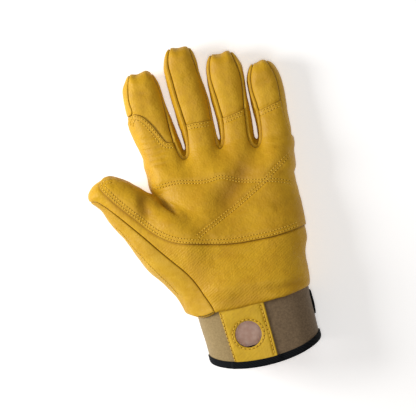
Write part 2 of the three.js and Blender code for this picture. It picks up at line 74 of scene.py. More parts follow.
FINGERS = {
    # edges: y, left, right; tip: from the right shoulder over the peak and the left corner
    "index": {
        "edges": [(118, -54.5, -25), (136, -56.4, -26.4), (150, -59, -27.2), (160, -62, -29),
                  (170, -64.5, -31), (181, -66.2, -33.7), (193, -66.6, -35.4), (201, -66, -36.4)],
        "tip": [(-38.2, 206), (-41, 211), (-45, 214.2), (-49, 213), (-53, 212), (-57, 213.2),
                (-60.6, 211.4), (-64, 206)],
        "reach": 13.5,
    },
    "middle": {
        "edges": [(118, -26, 1.5), (136, -25.4, 1.6), (150, -25.2, 1.2), (160, -26.4, 0.8),
                  (170, -27.8, 0.2), (181, -28.8, -0.3), (193, -30.2, -1.9), (205, -30.8, -3.8),
                  (213, -31.1, -4.4)],
        "tip": [(-5.4, 219.5), (-7.4, 224.4), (-10.6, 227.2), (-14, 227.2), (-18, 226.9), (-22, 228.1),
                (-25.6, 226.4), (-28.6, 222.4)],
        "reach": 13,
    },
    "ring": {
        "edges": [(118, 2.5, 30), (136, 3.2, 29.8), (150, 3.2, 30.2), (160, 3, 30.2), (170, 2.8, 30.2),
                  (181, 1.6, 29.9), (193, 0.9, 30.2), (203, 1, 30.2)],
        "tip": [(29.4, 207), (26.4, 213.4), (23, 217), (19.8, 218.4), (15.4, 216.8), (11, 216.9),
                (7.6, 217.6), (4.4, 214.6), (2.1, 209)],
        "reach": 13,
    },
    "little": {
        "edges": [(118, 31, 54.6), (136, 31.8, 57), (148, 32.6, 59.3), (160, 33, 59), (170, 32.2, 59.2),
                  (181, 31.5, 59.3), (191, 31.2, 58.4)],
        "tip": [(56.8, 197), (54.4, 202.4), (50.6, 205.3), (46, 206.9), (42, 205.2), (38, 204.5),
                (35, 202.2), (32.5, 196.6)],
        "reach": 12.5,
    },
}
# Seam of the palm panel: from the hem up the outside of the thumb, over its tip, and round the fingers
PALM_SEAM = [
    (-24.4, 8), (-24.4, 19.2), (-27.7, 28.6), (-34, 42.5), (-39.9, 51.9), (-48.1, 61.3), (-57.5, 72),
    (-66.9, 83.5), (-76.3, 94.3), (-82.7, 101.5), (-89, 108.3), (-94.8, 114.2), (-100, 118.4),
    (-108, 121.6), (-108, 140), (-88, 141), (-66, 128), (-58, 120), (-68, 150), (-70, 176),
    (-61.8, 182), (-62.2, 190), (-62.1, 198), (-60.8, 206), (-58.6, 211.6), (-57.2, 218),
    (-44.5, 219), (-41.6, 212.4), (-38.6, 203.5), (-36.6, 195.5), (-35.9, 186.3), (-35.4, 175.6),
    (-34.4, 163.4), (-33.1, 152.5), (-31.7, 145.4), (-30.1, 141.6), (-27.8, 139.8), (-25.1, 140.4),
    (-22.6, 143.7), (-21.6, 152), (-21.3, 164), (-23.2, 176.5), (-24.8, 188.9), (-26.1, 202.8),
    (-27, 213.6), (-25.8, 222), (-23.8, 227), (-22.4, 233), (-11.6, 233), (-9.2, 226.6), (-7.2, 216.6),
    (-5, 204), (-2.9, 193), (-1.5, 182), (-1.3, 169.6), (-1.1, 155.9), (-1, 147.6), (1.1, 143.2),
    (4, 144.4), (6.2, 149.3), (7.6, 163.5), (6.5, 176.6), (5, 188.2), (3.6, 197.6), (4, 206.5),
    (5.4, 212.6), (7.2, 217), (8.2, 223), (20.8, 224), (22.8, 216.6), (25.2, 208.4), (27, 199.6),
    (27.2, 187.5), (25.8, 174), (24.7, 160), (24.4, 149.5), (26, 142.6), (29.3, 139.4), (32.9, 140.6),
    (35.5, 146.7), (36.7, 159.1), (35.9, 172), (34.2, 184), (34.4, 193), (36.2, 199.6), (38.8, 204.8),
    (40, 211), (47.6, 211), (50, 203.6), (53.2, 196), (55, 185), (55, 172), (55.4, 158.1), (56.9, 149.5),
    (59.6, 143.6), (66, 140), (66, 60), (66, 8),
]
PALM_SIDE = 3  # the panel reaches this far below the middle of the glove's height
CROTCHES = [(-25.6, 144.5), (2.2, 148), (29.8, 144)]  # where two fingers part
PALM_REACH = ((8, 60, 100, 125, 148), (36, 36, 30, 20, 12))  # y, width of the rounded sides of the palm
THUMB_REACH = 14
WEB_DROP = 2  # the web between the fingers lies this far below their middle
WEB_DEPTH = 0.6  # and has this share of their half depth
# How softly the forms run into each other
FINGER_BLEND = 3.5
THUMB_BLEND = ((35, 55, 92, 108), (9, 18, 18, 9))  # y, width: most at the ball of the thumb
FLOOR_BLEND = 1.5


def smooth(points, closed=True, steps=5):
    # A curve through the points
    p = np.array(points, float)
    if closed:
        before, a, b, after = np.roll(p, 1, 0), p, np.roll(p, -1, 0), np.roll(p, -2, 0)
    else:
        q = np.vstack([2 * p[:1] - p[1:2], p, 2 * p[-1:] - p[-2:-1]])
        before, a, b, after = q[:-3], q[1:-2], q[2:-1], q[3:]
    t = np.linspace(0, 1, steps, endpoint=False)[None, :, None]
    before, a, b, after = before[:, None], a[:, None], b[:, None], after[:, None]
    cubic = (3 * a - before - 3 * b + after) * t**3 + (2 * before - 5 * a + 4 * b - after) * t**2
    curve = (0.5 * (cubic + (b - before) * t + 2 * a)).reshape(-1, p.shape[1])
    return curve if closed else np.vstack([curve, p[-1:]])


def nearest(line, x, y):
    # For points in plan: their distance to the line, and how far along the line they are
    best, along = np.full(x.shape, 1e9), np.zeros(x.shape)
    length = 0.0
    for (ax, ay), (bx, by) in zip(line[:-1], line[1:]):
        vx, vy = bx - ax, by - ay
        size = math.hypot(vx, vy)
        t = np.clip(((x - ax) * vx + (y - ay) * vy) / size**2, 0, 1)
        distance = np.hypot(x - ax - t * vx, y - ay - t * vy)
        along = np.where(distance < best, length + t * size, along)
        best = np.minimum(distance, best)
        length += size
    return best, along


def inside(outline, x, y):
    # Distance in plan to a closed outline, positive inside it
    ring = np.vstack([outline, outline[:1]])
    odd = np.zeros(x.shape, bool)
    for (ax, ay), (bx, by) in zip(ring[:-1], ring[1:]):
        if ay != by:
            odd ^= ((ay > y) != (by > y)) & (x < ax + (y - ay) * (bx - ax) / (by - ay))
    return np.where(odd, 1, -1) * nearest(ring, x, y)[0]


def blurred(grid, passes=2):
    for _ in range(passes):
        for axis in (0, 1):
            grid = (np.roll(grid, 1, axis) + 2 * grid + np.roll(grid, -1, axis)) / 4
    return grid


def sample(grid, x, y):
    # The value of a plan map at any points
    u = np.clip((x - AXES[0][0]) / CELL, 0, grid.shape[0] - 1.001)
    v = np.clip((y - AXES[1][0]) / CELL, 0, grid.shape[1] - 1.001)
    i, j = u.astype(int), v.astype(int)
    s, t = u - i, v - j
    low = grid[i, j] * (1 - s) + grid[i + 1, j] * s
    high = grid[i, j + 1] * (1 - s) + grid[i + 1, j + 1] * s
    return low * (1 - t) + high * t


def body_depth(y):
    return np.interp(y, BODY[:, 0], BODY[:, 1])


def body_middle(y):
    return body_depth(y) - SAG + np.interp(y, BODY[:, 0], BODY[:, 2])


def finger_outline(finger):
    right = [(r, y) for y, _, r in finger["edges"]]
    left = [(l, y) for y, l, _ in finger["edges"]]
    return right + finger["tip"] + left[::-1]


plan = np.meshgrid(AXES[0], AXES[1], indexing="ij")
outlines = {"palm": PALM, "thumb": THUMB} | {name: finger_outline(f) for name, f in FINGERS.items()}
edge_maps = {name: blurred(inside(smooth(outline), *plan)) for name, outline in outlines.items()}
reaches = {"thumb": THUMB_REACH} | {name: finger["reach"] for name, finger in FINGERS.items()}
parting = sum(np.exp(-((plan[0] - x) ** 2 + (plan[1] - y) ** 2) / 25) for x, y in CROTCHES)
edge_maps["web"] = edge_maps["palm"] + 5 * parting
thumb_lengths = np.append(0, np.cumsum(np.hypot(*np.diff(THUMB_AXIS[:, :2], axis=0).T)))
thumb_run = nearest(THUMB_AXIS[:, :2], *plan)[1]
thumb_middle = blurred(np.interp(thumb_run, thumb_lengths, THUMB_AXIS[:, 2]), 6)
thumb_depth = blurred(np.interp(thumb_run, thumb_lengths, THUMB_AXIS[:, 3]), 6)


def blend(a, b, width):
    # The smaller of two fields, rounded where they meet
    h = np.clip(0.5 + (b - a) / (2 * width), 0, 1)
    return b * (1 - h) + a * h - width * h * (1 - h)


def form(x, y, z):
    # Roughly the distance to the leather's outer side, negative inside it
    def lobe(name, middle, depth):
        reach = reaches.get(name, np.interp(y, *PALM_REACH))
        u = np.maximum(0, 1 - sample(edge_maps[name], x, y) / reach)
        v = np.abs(z - middle) / depth
        return ((u**ROUND + v**ROUND) ** (1 / ROUND) - 1) * depth

    middle, depth = body_middle(y), body_depth(y)
    fingers = lobe("index", middle, depth)
    for name in ("middle", "ring", "little"):
        fingers = np.minimum(fingers, lobe(name, middle, depth))
    palm = np.minimum(lobe("palm", middle, depth), lobe("web", middle - WEB_DROP, WEB_DEPTH * depth))
    palm_and_fingers = blend(palm, fingers, FINGER_BLEND)
    thumb = lobe("thumb", sample(thumb_middle, x, y), sample(thumb_depth, x, y))
    whole = blend(palm_and_fingers, thumb, np.interp(y, *THUMB_BLEND))
    return -blend(-whole, z, FLOOR_BLEND)


def surface():
    # The outer side as a mesh: one vertex in each grid cell that it passes through
    x, y, z = AXES
    values = form(x[:, None, None], y[None, :, None], z[None, None, :])
    filled = values < 0
    sums, counts = np.zeros((values.size, 3)), np.zeros(values.size)
    quads = []
    for axis in range(3):
        side, other = [a for a in range(3) if a != axis]
        step = np.eye(3, dtype=int)[axis]
        ends = [slice(1, None) if a == axis else slice(None) for a in range(3)]
        starts = [slice(0, -1) if a == axis else slice(None) for a in range(3)]
        cells = np.argwhere(filled[tuple(starts)] != filled[tuple(ends)])
        cells = cells[(cells[:, side] > 0) & (cells[:, other] > 0)]
        here, there = values[tuple(cells.T)], values[tuple((cells + step).T)]
        points = cells + step * (here / (here - there))[:, None]
        corners = []
        for down, back in ((0, 0), (1, 0), (1, 1), (0, 1)):
            cell = cells.copy()
            cell[:, side] -= down
            cell[:, other] -= back
            index = np.ravel_multi_index(cell.T, values.shape)
            corners.append(index)
            counts += np.bincount(index, minlength=values.size)
            for k in range(3):
                sums[:, k] += np.bincount(index, weights=points[:, k], minlength=values.size)
        ring = np.column_stack(corners)
        turn = (here < 0) if axis == 1 else (here > 0)
        ring[turn] = ring[turn][:, ::-1]
        quads.append(ring)
    used = np.flatnonzero(counts)
    number = np.full(values.size, -1)
    number[used] = np.arange(len(used))
    return sums[used] / counts[used, None] * CELL + [a[0] for a in AXES], number[np.vstack(quads)]


def slope_of_form(points):
    step = 0.4
    ends = [form(*(points + step * a).T) - form(*(points - step * a).T) for a in np.eye(3)]
    return np.column_stack(ends) / (2 * step)


def unit(vectors):
    return vectors / np.maximum(np.linalg.norm(vectors, axis=1), 1e-9)[:, None]


shell, shell_quads = surface()
links = np.vstack([np.roll(shell_quads, -k, 1)[:, :2] for k in range(4)])
links = np.vstack([links, links[:, ::-1]])
link_counts = np.bincount(links[:, 0], minlength=len(shell))


def average(values):
    # The mean of each vertex's neighbours
    return np.bincount(links[:, 0], weights=values[links[:, 1]], minlength=len(shell)) / link_counts


for _ in range(4):
    shell = 0.4 * shell + 0.6 * np.column_stack([average(shell[:, k]) for k in range(3)])
    slope = slope_of_form(shell)
    shell -= slope * (form(*shell.T) / np.maximum((slope**2).sum(1), 0.2))[:, None]
shell_normals = unit(slope_of_form(shell))
shell_faces = np.vstack([shell_quads[:, [0, 1, 2]], shell_quads[:, [0, 2, 3]]])
link_lengths = np.maximum(np.linalg.norm(shell[links[:, 0]] - shell[links[:, 1]], axis=1), 0.3)
x, y, z = shell.T


def over_shell(values):
    # A distance in plan or in height as the distance along the shell, near where it is zero
    change = ((values[links[:, 0]] - values[links[:, 1]]) / link_lengths) ** 2
    steepness = np.sqrt(2 * np.bincount(links[:, 0], weights=change, minlength=len(shell)) / link_counts)
    return values / np.maximum(average(average(steepness)), 0.3)


def fall(distance, width):
    return np.exp(-((distance / width) ** 2))


def lumps(points, size, seed):
    # Soft random height between -1 and 1, with lumps of about that size
    return np.array([noise.noise(Vector(p / size) + Vector((seed, 0, 0))) for p in points])


# Folds that the leather keeps from use: half width, depth, line
FOLDS = [
    (1.7, 2.6, [(-54, 115), (-48.6, 107), (-44.3, 101.3), (-40, 95.5)]),  # between thumb and palm
    (1.2, 1.1, [(-51, 114), (-45, 105.5), (-39.5, 100)]),
    (5.2, 2.6, [(-63, 123), (-64, 111), (-62.5, 95)]),  # joint of the thumb
    (8.5, 2.4, [(27, 142), (14, 119), (2, 106), (-5, 95), (-12, 87)]),  # hollow of the palm
    (5.0, 0.8, [(56, 96), (44, 92), (30, 92)]),
    (2.6, 1.0, [(12, 31), (25, 29.6), (38, 29.8), (53, 32.6)]),  # above the hem
    (6.0, 1.1, [(-32, 28), (-14, 26.5), (8, 28)]),
    (3.0, 0.7, [(39, 146), (48, 144.6), (58, 146)]),  # root of the little finger
    (2.2, 0.5, [(40, 139), (48, 137.4), (56, 138)]),
    (3.2, 0.6, [(-20, 203), (-14, 201), (-7, 203)]),
    (3.2, 0.6, [(36, 186), (43, 188.5), (51, 187)]),
    (3.0, 0.5, [(-59, 199), (-50, 196), (-42, 198)]),
]
for k in range(6):  # root of the index finger
    line = [(-60 + 0.9 * k, 161.5 - 4.3 * k), (-51, 160.6 - 4.3 * k), (-42.5 + k, 162.5 - 4.7 * k)]
    FOLDS.append((1.3, 0.55, line))

# Soft pads where the leather stands out: radius, height, middle
PADS = [
    (34, 2.6, (-14, 44)), (24, 1.2, (-44, 62)), (12, 0.6, (-29, 66)),  # heel
    (11, 1.8, (-46, 97)), (15, 2.8, (-34, 87)), (14, 2.3, (-17, 83)),  # ball of the thumb
    (12, 2.2, (-20, 106)), (9, 0.6, (-32, 123)), (11, 1.8, (0, 122)), (10, 1.4, (33, 122)),  # palm
    (10, 1.0, (46, 130)),
]


def folded(x, y):
    # Depth of the folds at points in plan
    depth = np.zeros(x.shape)
    for width, deep, line in FOLDS:
        line = smooth(line, closed=False)
        distance, along = nearest(line, x, y)
        length = np.hypot(*np.diff(line, axis=0).T).sum()
        end = np.clip(np.minimum(along, length - along) / (0.35 * length), 0, 1)
        depth += deep * fall(distance, width) * (0.15 + 0.85 * end * end * (3 - 2 * end))
    return depth


# Edges and seams of the second layer on the palm, which its outline and the stitch rows below share
LOWER_EDGE = [
    (-86, 136.3), (-91, 135.9), (-94.4, 133.5), (-95.7, 129.9), (-94.3, 125.9), (-90.6, 120.7),
    (-84.5, 112.8), (-78.1, 105.6), (-71.8, 98.8), (-65.5, 91.6), (-59, 85.5), (-52.2, 80.6),
    (-45.3, 77.1), (-38.1, 74.7),
    (-27.2, 72), (-16.2, 70.2), (-9.9, 69.2), (2.9, 68.3), (15.8, 68.4), (28.7, 68.8), (37.5, 69.8),
    (46.3, 71.2), (56.4, 73.4),
]
UPPER_EDGES = {
    "index": [(-66.2, 174), (-65.3, 176.4), (-64.1, 178.8), (-61.8, 181), (-59.1, 181.2), (-54.6, 179),
              (-50.7, 174.9), (-47.1, 169.7), (-43.7, 163.5), (-40.8, 158), (-38.4, 155.2), (-33, 154.6)],
    "middle": [(-22.5, 166), (-19.7, 166.4), (-15.8, 167), (-9.8, 166.7), (-0.8, 166.8)],
    "ring": [(7, 166.6), (12.3, 167.6), (17.1, 168.7), (21.9, 170.1), (26, 171.9)],
    "little": [(36, 167.4), (43, 169.4), (47.8, 170.8), (55, 172.8)],
}
CROSS_SEAM = [
    (-54, 122), (-50.3, 122.4), (-44.9, 122.8), (-36, 123.2), (-26, 121.6), (-17, 120.2), (-9, 120.6),
    (-3, 121.6), (2.5, 120.2), (8.5, 117.6), (15, 115.6), (24, 113.8), (33, 112.6), (42, 111), (54.5, 106.6),
]
DIAGONAL_SEAM = [
    (-27.5, 79), (-18.5, 83.8), (-9.4, 88.7), (0, 93.7), (9.2, 98.9), (17.4, 103.9), (25.5, 108.8),
    (32.3, 113.5), (38.9, 118.8), (45.8, 124), (55, 130.4),
]


HEM = ((-50, -42, -38, -33.6, -28.9, -24.4, -10, 14, 30, 50, 60),
       (22, 18.4, 16.9, 16.4, 17.3, 18.9, 18.8, 20, 21.8, 25.2, 26.6))  # x and y of the lower edge


def beside(line, shift):
    # The line moved to its left by that distance
    direction = unit(np.gradient(line, axis=0))
    return line + np.column_stack([-direction[:, 1], direction[:, 0]]) * shift


stitch_rows = [beside(smooth(LOWER_EDGE, closed=False), shift) for shift in (1.7, 4.3)]
for edge in UPPER_EDGES.values():
    stitch_rows += [beside(smooth(edge, closed=False), shift) for shift in (-1.5, -4.1)]
stitch_rows += [beside(smooth(CROSS_SEAM, closed=False), shift) for shift in (-1.1, 1.1)]
stitch_rows += [beside(smooth(DIAGONAL_SEAM, closed=False), shift) for shift in (-1.3, 1.3)]
overlay_outline = np.vstack([
    smooth(LOWER_EDGE, closed=False), [(70, 76), (70, 176)],
    *[smooth(UPPER_EDGES[name][::-1], closed=False) for name in ("little", "ring", "middle", "index")],
    [(-74, 168), (-70, 150), (-57.5, 119.5), (-70, 132), (-80, 142)],
])

on_thumb = edge_maps["thumb"] > edge_maps["palm"]
height = sample(blurred(np.where(on_thumb, thumb_middle, body_middle(plan[1])), 12), x, y)
row_depth = np.zeros(len(shell))
for row in stitch_rows:
    row_depth = np.maximum(row_depth, fall(nearest(row, x, y)[0], 1.3))
facing_up = np.clip((shell_normals[:, 2] + 0.1) / 0.5, 0, 1)  # 1 on the palm side, 0 on the back
folds = folded(x, y) * facing_up
upward = np.clip(shell_normals[:, 2], 0, 1)
pads = sum(high * fall(np.hypot(x - px, y - py), radius) for radius, high, (px, py) in PADS) * upward
relief = 0.4 * lumps(shell, 17, 3) + 0.24 * lumps(shell, 6, 8) + pads - folds
seam_share = over_shell(inside(smooth(PALM_SEAM), x, y))
side_share = over_shell(z - height + PALM_SIDE)
overlay_share = over_shell(inside(overlay_outline, x, y))
columns = {
    "relief": relief, "row": row_depth * facing_up, "fold": folds,
    "palm": np.minimum(seam_share, side_share),
    "hem": over_shell(y - np.interp(x, *HEM)), "overlay": overlay_share,
    "step": fall(overlay_share, 1.1) * facing_up,
}
COLUMN = {name: 6 + k for k, name in enumerate(columns)}
shell_table = np.column_stack([shell, shell_normals, *columns.values()])


def split(table, faces, values):
    # The mesh with its triangles divided where the values are zero, and which are on the positive side
    positive = values > 0
    count = positive[faces].sum(1)
    whole = faces[count % 3 == 0]
    mixed = faces[count % 3 != 0]
    single = count[count % 3 != 0] == 1
    place = np.argmax(positive[mixed] == single[:, None], axis=1)
    a, b, c = (mixed[np.arange(len(mixed)), (place + k) % 3] for k in range(3))
    pairs = np.sort(np.vstack([np.column_stack([a, b]), np.column_stack([a, c])]), axis=1)
    edges, where = np.unique(pairs, axis=0, return_inverse=True)
    ab, ac = np.split(where.ravel() + len(table), 2)
    low, high = values[edges[:, 0]], values[edges[:, 1]]
    t = (low / (low - high))[:, None]
    new = table[edges[:, 0]] * (1 - t) + table[edges[:, 1]] * t
    tip, near, far = np.column_stack([a, ab, ac]), np.column_stack([ab, b, c]), np.column_stack([ab, c, ac])
    side = np.concatenate([count[count % 3 == 0] == 3, single, ~single, ~single])
    return np.vstack([table, new]), np.vstack([whole, tip, near, far]), side


def cut(table, faces, values):
    # The part of a mesh where the values are positive, without the loose slivers beside it
    table, faces, side = split(table, faces, values)
    faces = faces[side]
    label = np.arange(len(table))
    edges = np.vstack([faces[:, [0, 1]], faces[:, [1, 2]]])
    while True:
        before = label.copy()
        low = np.minimum(label[edges[:, 0]], label[edges[:, 1]])
        np.minimum.at(label, edges[:, 0], low)
        np.minimum.at(label, edges[:, 1], low)
        label = label[label]
        if (label == before).all():
            break
    parts, counts = np.unique(label[faces[:, 0]], return_counts=True)
    faces = faces[label[faces[:, 0]] == parts[np.argmax(counts)]]
    used, number = np.unique(faces, return_inverse=True)
    return table[used], number.reshape(-1, 3)


def wall(points, faces, normals, thickness):
    # A closed wall: the outer side, the same set in by the thickness, and a strip along the border
    count = len(points)
    edges = np.vstack([faces[:, [0, 1]], faces[:, [1, 2]], faces[:, [2, 0]]])
    lone = ~np.isin(edges[:, 0] * count + edges[:, 1], edges[:, 1] * count + edges[:, 0])
    a, b = edges[lone].T
    strip = np.vstack([np.column_stack([b, a, a + count]), np.column_stack([b, a + count, b + count])])
    all_points = np.vstack([points, points - normals * thickness])
    return all_points, np.vstack([faces, faces[:, ::-1] + count, strip])


def mesh_object(name, points, faces, materials, layers=(), indices=None):
    # A smooth-shaded object from points in glove millimetres, with named values on its vertices
    mesh = bpy.data.meshes.new(name)
    mesh.from_pydata(((points - MIDDLE) / 1000).tolist(), [], faces.tolist())
    for layer, values in layers:
        mesh.attributes.new(layer, "FLOAT", "POINT").data.foreach_set("value", values.astype(np.float32))
    for material in materials:
        mesh.materials.append(material)
    if indices is not None:
        mesh.polygons.foreach_set("material_index", indices)
    mesh.shade_smooth()
    piece = bpy.data.objects.new(name, mesh)
    bpy.context.scene.collection.objects.link(piece)
    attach(piece, "root")
    return piece


def edge_drop(distance, radius):
    # How far a rounded edge has fallen at that distance from it, from 1 to 0
    return 1 - np.sqrt(1 - (1 - np.clip(distance / radius, 0, 1)) ** 2)


def at_crotches(x, y, width):
    # 1 where two fingers part, falling to 0 around it
    return sum(fall(np.hypot(x - cx, y - cy), width) for cx, cy in CROTCHES)


def leather_piece(name, table, faces, material, seams, lift=0.0, hem=False, thickness=LEATHER, lip=0.0):
    # seams: column of the distance to the edge, radius that the edge rolls in with, how deep it goes
    edges = seams + [(COLUMN["hem"], 2.6, 2.2)] * hem
    for column, radius, _ in edges:
        for share in (0.25, 0.8):
            table, faces, _ = split(table, faces, table[:, column] - radius * share)
    normals = unit(table[:, 3:6])
    drop = np.max([depth * edge_drop(table[:, c], radius) for c, radius, depth in edges], axis=0)
    row = table[:, COLUMN["row"]] * (0.5 if lift else 0)
    step = table[:, COLUMN["step"]] * (0 if lift else 1)  # the dent where the second layer ends
    shown = np.clip(normals[:, 2] + 0.8 * at_crotches(table[:, 0], table[:, 1], 6), 0, 1)
    rolled = lip * fall(table[:, COLUMN["palm"]] + 2.2, 1.5) * shown  # crest of the rim, 2.2 from the seam
    out = lift + table[:, COLUMN["relief"]] + rolled - row - 0.5 * step - drop
    points = table[:, :3] + normals * out[:, None]
    points[:, 2] = np.maximum(points[:, 2], 0)
    # Distance to the nearest seam, which draws the painted shade in the seam grooves
    seam = np.min([table[:, c] for c, _, _ in seams], axis=0)
    closed, all_faces = wall(points, faces, normals, thickness)
    x, y, z = points.T
    # Painted shade: the leather is drawn browner beside the second layer's lower edge, where that edge casts
    # shade, and deep down where two fingers part
    shade = 2.6 * step * (y < 150) + 4 * at_crotches(x, y, 2.6) * (z < 13)
    layers = [("seam", np.tile(seam, 2)), ("fold", np.tile(table[:, COLUMN["fold"]] + shade, 2))]
    return mesh_object(name, closed, all_faces, [material], layers), points, faces


def linear(colour):
    # An sRGB hex colour as linear red, green, blue and alpha
    channels = [int(colour[k : k + 2], 16) / 255 for k in (0, 2, 4)]
    return [c / 12.92 if c <= 0.04045 else ((c + 0.055) / 1.055) ** 2.4 for c in channels] + [1]


def add(tree, kind, links=(), inputs=(), ramp=(), **settings):
    # A node with what is linked to its inputs, their values, the places and hex colours of its ramp, and its
    # other settings
    node = tree.nodes.new(kind)
    for key, value in settings.items():
        setattr(node, key, value)
    for key, value in dict(inputs).items():
        node.inputs[key].default_value = value
    for key, source in dict(links).items():
        tree.links.new(source, node.inputs[key])
    for k, (place, colour) in enumerate(ramp):
        elements = node.color_ramp.elements
        element = elements[k] if k < len(elements) else elements.new(place)
        element.position = place
        element.color = linear(colour)
    return node


def new_material(name, roughness, ior=1.47, specular=0.5):
    material = bpy.data.materials.new(name)
    material.use_nodes = True
    shader = material.node_tree.nodes["Principled BSDF"]
    shader.inputs["Roughness"].default_value = roughness
    shader.inputs["IOR"].default_value = ior
    shader.inputs["Specular IOR Level"].default_value = specular
    return material, material.node_tree, shader


# Full-grain goatskin, drum dyed and lightly waxed. The grain side has fine pores and a soft sheen, and the
# dye lies in warm mottled patches. The brown in the folds and the near black-brown down in the seams and
# along cut edges are painted shade, with a little of the cut edges' own darker colour.
def leather(name, dark, base, light, fold="7c4a08", seam="6b430c", roughness=0.52, pore=1.5, heel_lines=0.85):
    material, tree, shader = new_material(name, roughness, specular=0.3)
    place = add(tree, "ShaderNodeTexCoord").outputs["Object"]
    broad = add(tree, "ShaderNodeTexNoise", {"Vector": place}, {"Scale": 1 / 0.022, "Detail": 3.0})
    mottle = add(tree, "ShaderNodeTexNoise", {"Vector": place}, {"Scale": 1 / 0.0045, "Detail": 4.0})
    both = add(tree, "ShaderNodeMix", {"A": broad.outputs[0], "B": mottle.outputs[0]}, {"Factor": 0.35})
    tones = add(tree, "ShaderNodeValToRGB", {"Fac": both.outputs[0]},
                ramp=((0.38, dark), (0.5, base), (0.62, light)))
    # Painted shade: the colour turns browner in the folds
    depth = add(tree, "ShaderNodeAttribute", attribute_name="fold").outputs["Fac"]
    fold_shading = add(tree, "ShaderNodeMapRange", {"Value": depth}, {"From Max": 4.0, "To Max": 0.75})
    folds = add(tree, "ShaderNodeMix", {0: fold_shading.outputs[0], 6: tones.outputs[0]}, {7: linear(fold)},
                data_type="RGBA")
    # Painted shade: the colour turns near black-brown down in the seam grooves and along cut edges
    edge = add(tree, "ShaderNodeAttribute", attribute_name="seam").outputs["Fac"]
    groove = add(tree, "ShaderNodeMapRange", {"Value": edge},
                 {"From Min": 0.05, "From Max": 0.6, "To Min": 0.8, "To Max": 0.0})
    colour = add(tree, "ShaderNodeMix", {0: groove.outputs[0], 6: folds.outputs[2]}, {7: linear(seam)},
                 data_type="RGBA")
    tree.links.new(colour.outputs[2], shader.inputs["Base Color"])
    gloss = add(tree, "ShaderNodeMapRange", {"Value": mottle.outputs[0]},
                {"To Min": roughness - 0.1, "To Max": roughness + 0.1})
    tree.links.new(gloss.outputs[0], shader.inputs["Roughness"])
    # Pores about 1.5 mm apart, drawn a little coarser than real ones so that they show
    pores = add(tree, "ShaderNodeTexVoronoi", {"Vector": place}, {"Scale": 1000 / pore, "Smoothness": 0.5},
                feature="SMOOTH_F1")
    fine = add(tree, "ShaderNodeTexNoise", {"Vector": place}, {"Scale": 1 / 0.003, "Detail": 5.0})
    relief = add(tree, "ShaderNodeMath", {0: pores.outputs[0], 2: fine.outputs[0]}, {1: 0.6},
                 operation="MULTIPLY_ADD")
    # The hide's own lines run up to the right and show most on the heel: 1.6 mm apart, drawn at 1.9 mm
    turned = add(tree, "ShaderNodeMapping", {"Vector": place}, {"Rotation": (0, 0, math.radians(33))},
                 vector_type="TEXTURE")
    lines = add(tree, "ShaderNodeTexWave", {"Vector": turned.outputs[0]},
                {"Scale": math.tau / 20 / 0.0019, "Distortion": 3.5, "Detail": 1.0, "Detail Scale": 2.0},
                bands_direction="Y")
    breaks = add(tree, "ShaderNodeTexNoise", {"Vector": place}, {"Scale": 1 / 0.0022, "Detail": 1.0})
    lines = add(tree, "ShaderNodeMath", {0: lines.outputs[1], 1: breaks.outputs[0]}, operation="MULTIPLY")
    along = add(tree, "ShaderNodeSeparateXYZ", {0: place})
    heel = add(tree, "ShaderNodeMapRange", {"Value": along.outputs[1]},
               {"From Min": -0.03, "From Max": -0.02, "To Min": heel_lines, "To Max": 0.15})
    lines = add(tree, "ShaderNodeMath", {0: lines.outputs[0], 1: heel.outputs[0]}, operation="MULTIPLY")
    relief = add(tree, "ShaderNodeMath", {0: lines.outputs[0], 1: relief.outputs[0]}, operation="ADD")
    bump = add(tree, "ShaderNodeBump", {"Height": relief.outputs[0]}, {"Strength": 0.65, "Distance": 0.0004})
    tree.links.new(bump.outputs[0], shader.inputs["Normal"])
    return material


gold = leather("gold_full_grain_goatskin", "c79619", "ce9e1b", "d4a51e")
table, faces = cut(shell_table, shell_faces, shell_table[:, COLUMN["hem"]])
palm_mesh = cut(table, faces, table[:, COLUMN["palm"]] - GAP)
palm_seam = (COLUMN["palm"], 1.5, 1.1)
palm_leather = leather_piece("palm_leather", *palm_mesh, gold, [palm_seam], hem=True)[0]
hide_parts("palm_panel", "index_front", "middle_front", "ring_front", "little_front")

# Second layer: a patch of the same leather over the grip area, from the thumb and the index finger to the
# side of the palm. It is glued down and sewn with two rows of stitches along its edges and across the palm.
OVERLAY = 1.3  # thickness
grip = leather("grip_patch_goatskin", "c69518", "cd9d1b", "d4a41e", roughness=0.5)
overlay_mesh = cut(*palm_mesh, palm_mesh[0][:, COLUMN["overlay"]])
grip_patch, grip_points, grip_faces = leather_piece(
    "grip_patch", *overlay_mesh, grip,
    [(COLUMN["palm"], 1.6, 2.3), (COLUMN["overlay"], 0.7, 0.7)], lift=OVERLAY, thickness=OVERLAY - 0.1,
)
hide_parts("palm_overlay")

# Stitches: bonded polyester thread in a lockstitch. Each stitch is a short raised bar between two needle
# holes that show as dark dots.
THREAD = 0.36  # radius
PITCH = 2.35  # from hole to hole
SIDES = 6
# Along one stitch: share of its length, height over the leather, share of the radius
STITCH = ((0.12, -0.1, 0.5), (0.28, 0.22, 0.9), (0.5, 0.32, 1), (0.72, 0.22, 0.9), (0.88, -0.1, 0.5))
# The thread has a low gloss, and its twist shows as paler and darker spots
thread, tree, shader = new_material("yellow_polyester_thread", 0.6, ior=1.58)
place = add(tree, "ShaderNodeTexCoord").outputs["Object"]
twist = add(tree, "ShaderNodeTexNoise", {"Vector": place}, {"Scale": 1 / 0.0015})
tones = add(tree, "ShaderNodeValToRGB", {"Fac": twist.outputs[0]}, ramp=((0.3, "d4a41e"), (0.7, "ecc640")))
tree.links.new(tones.outputs[0], shader.inputs["Base Color"])
needle_hole, tree, shader = new_material("needle_hole_shadow", 0.9, specular=0.1)
shader.inputs["Base Color"].default_value = linear("6a430c")


def evenly(line, pitch):
    # Points along a line at equal steps
    line = np.array(line)
    run = np.append(0, np.cumsum(np.linalg.norm(np.diff(line, axis=0), axis=1)))
    steps = max(2, round(run[-1] / pitch) + 1)
    return np.column_stack([np.interp(np.linspace(0, run[-1], steps), run, c) for c in line.T])


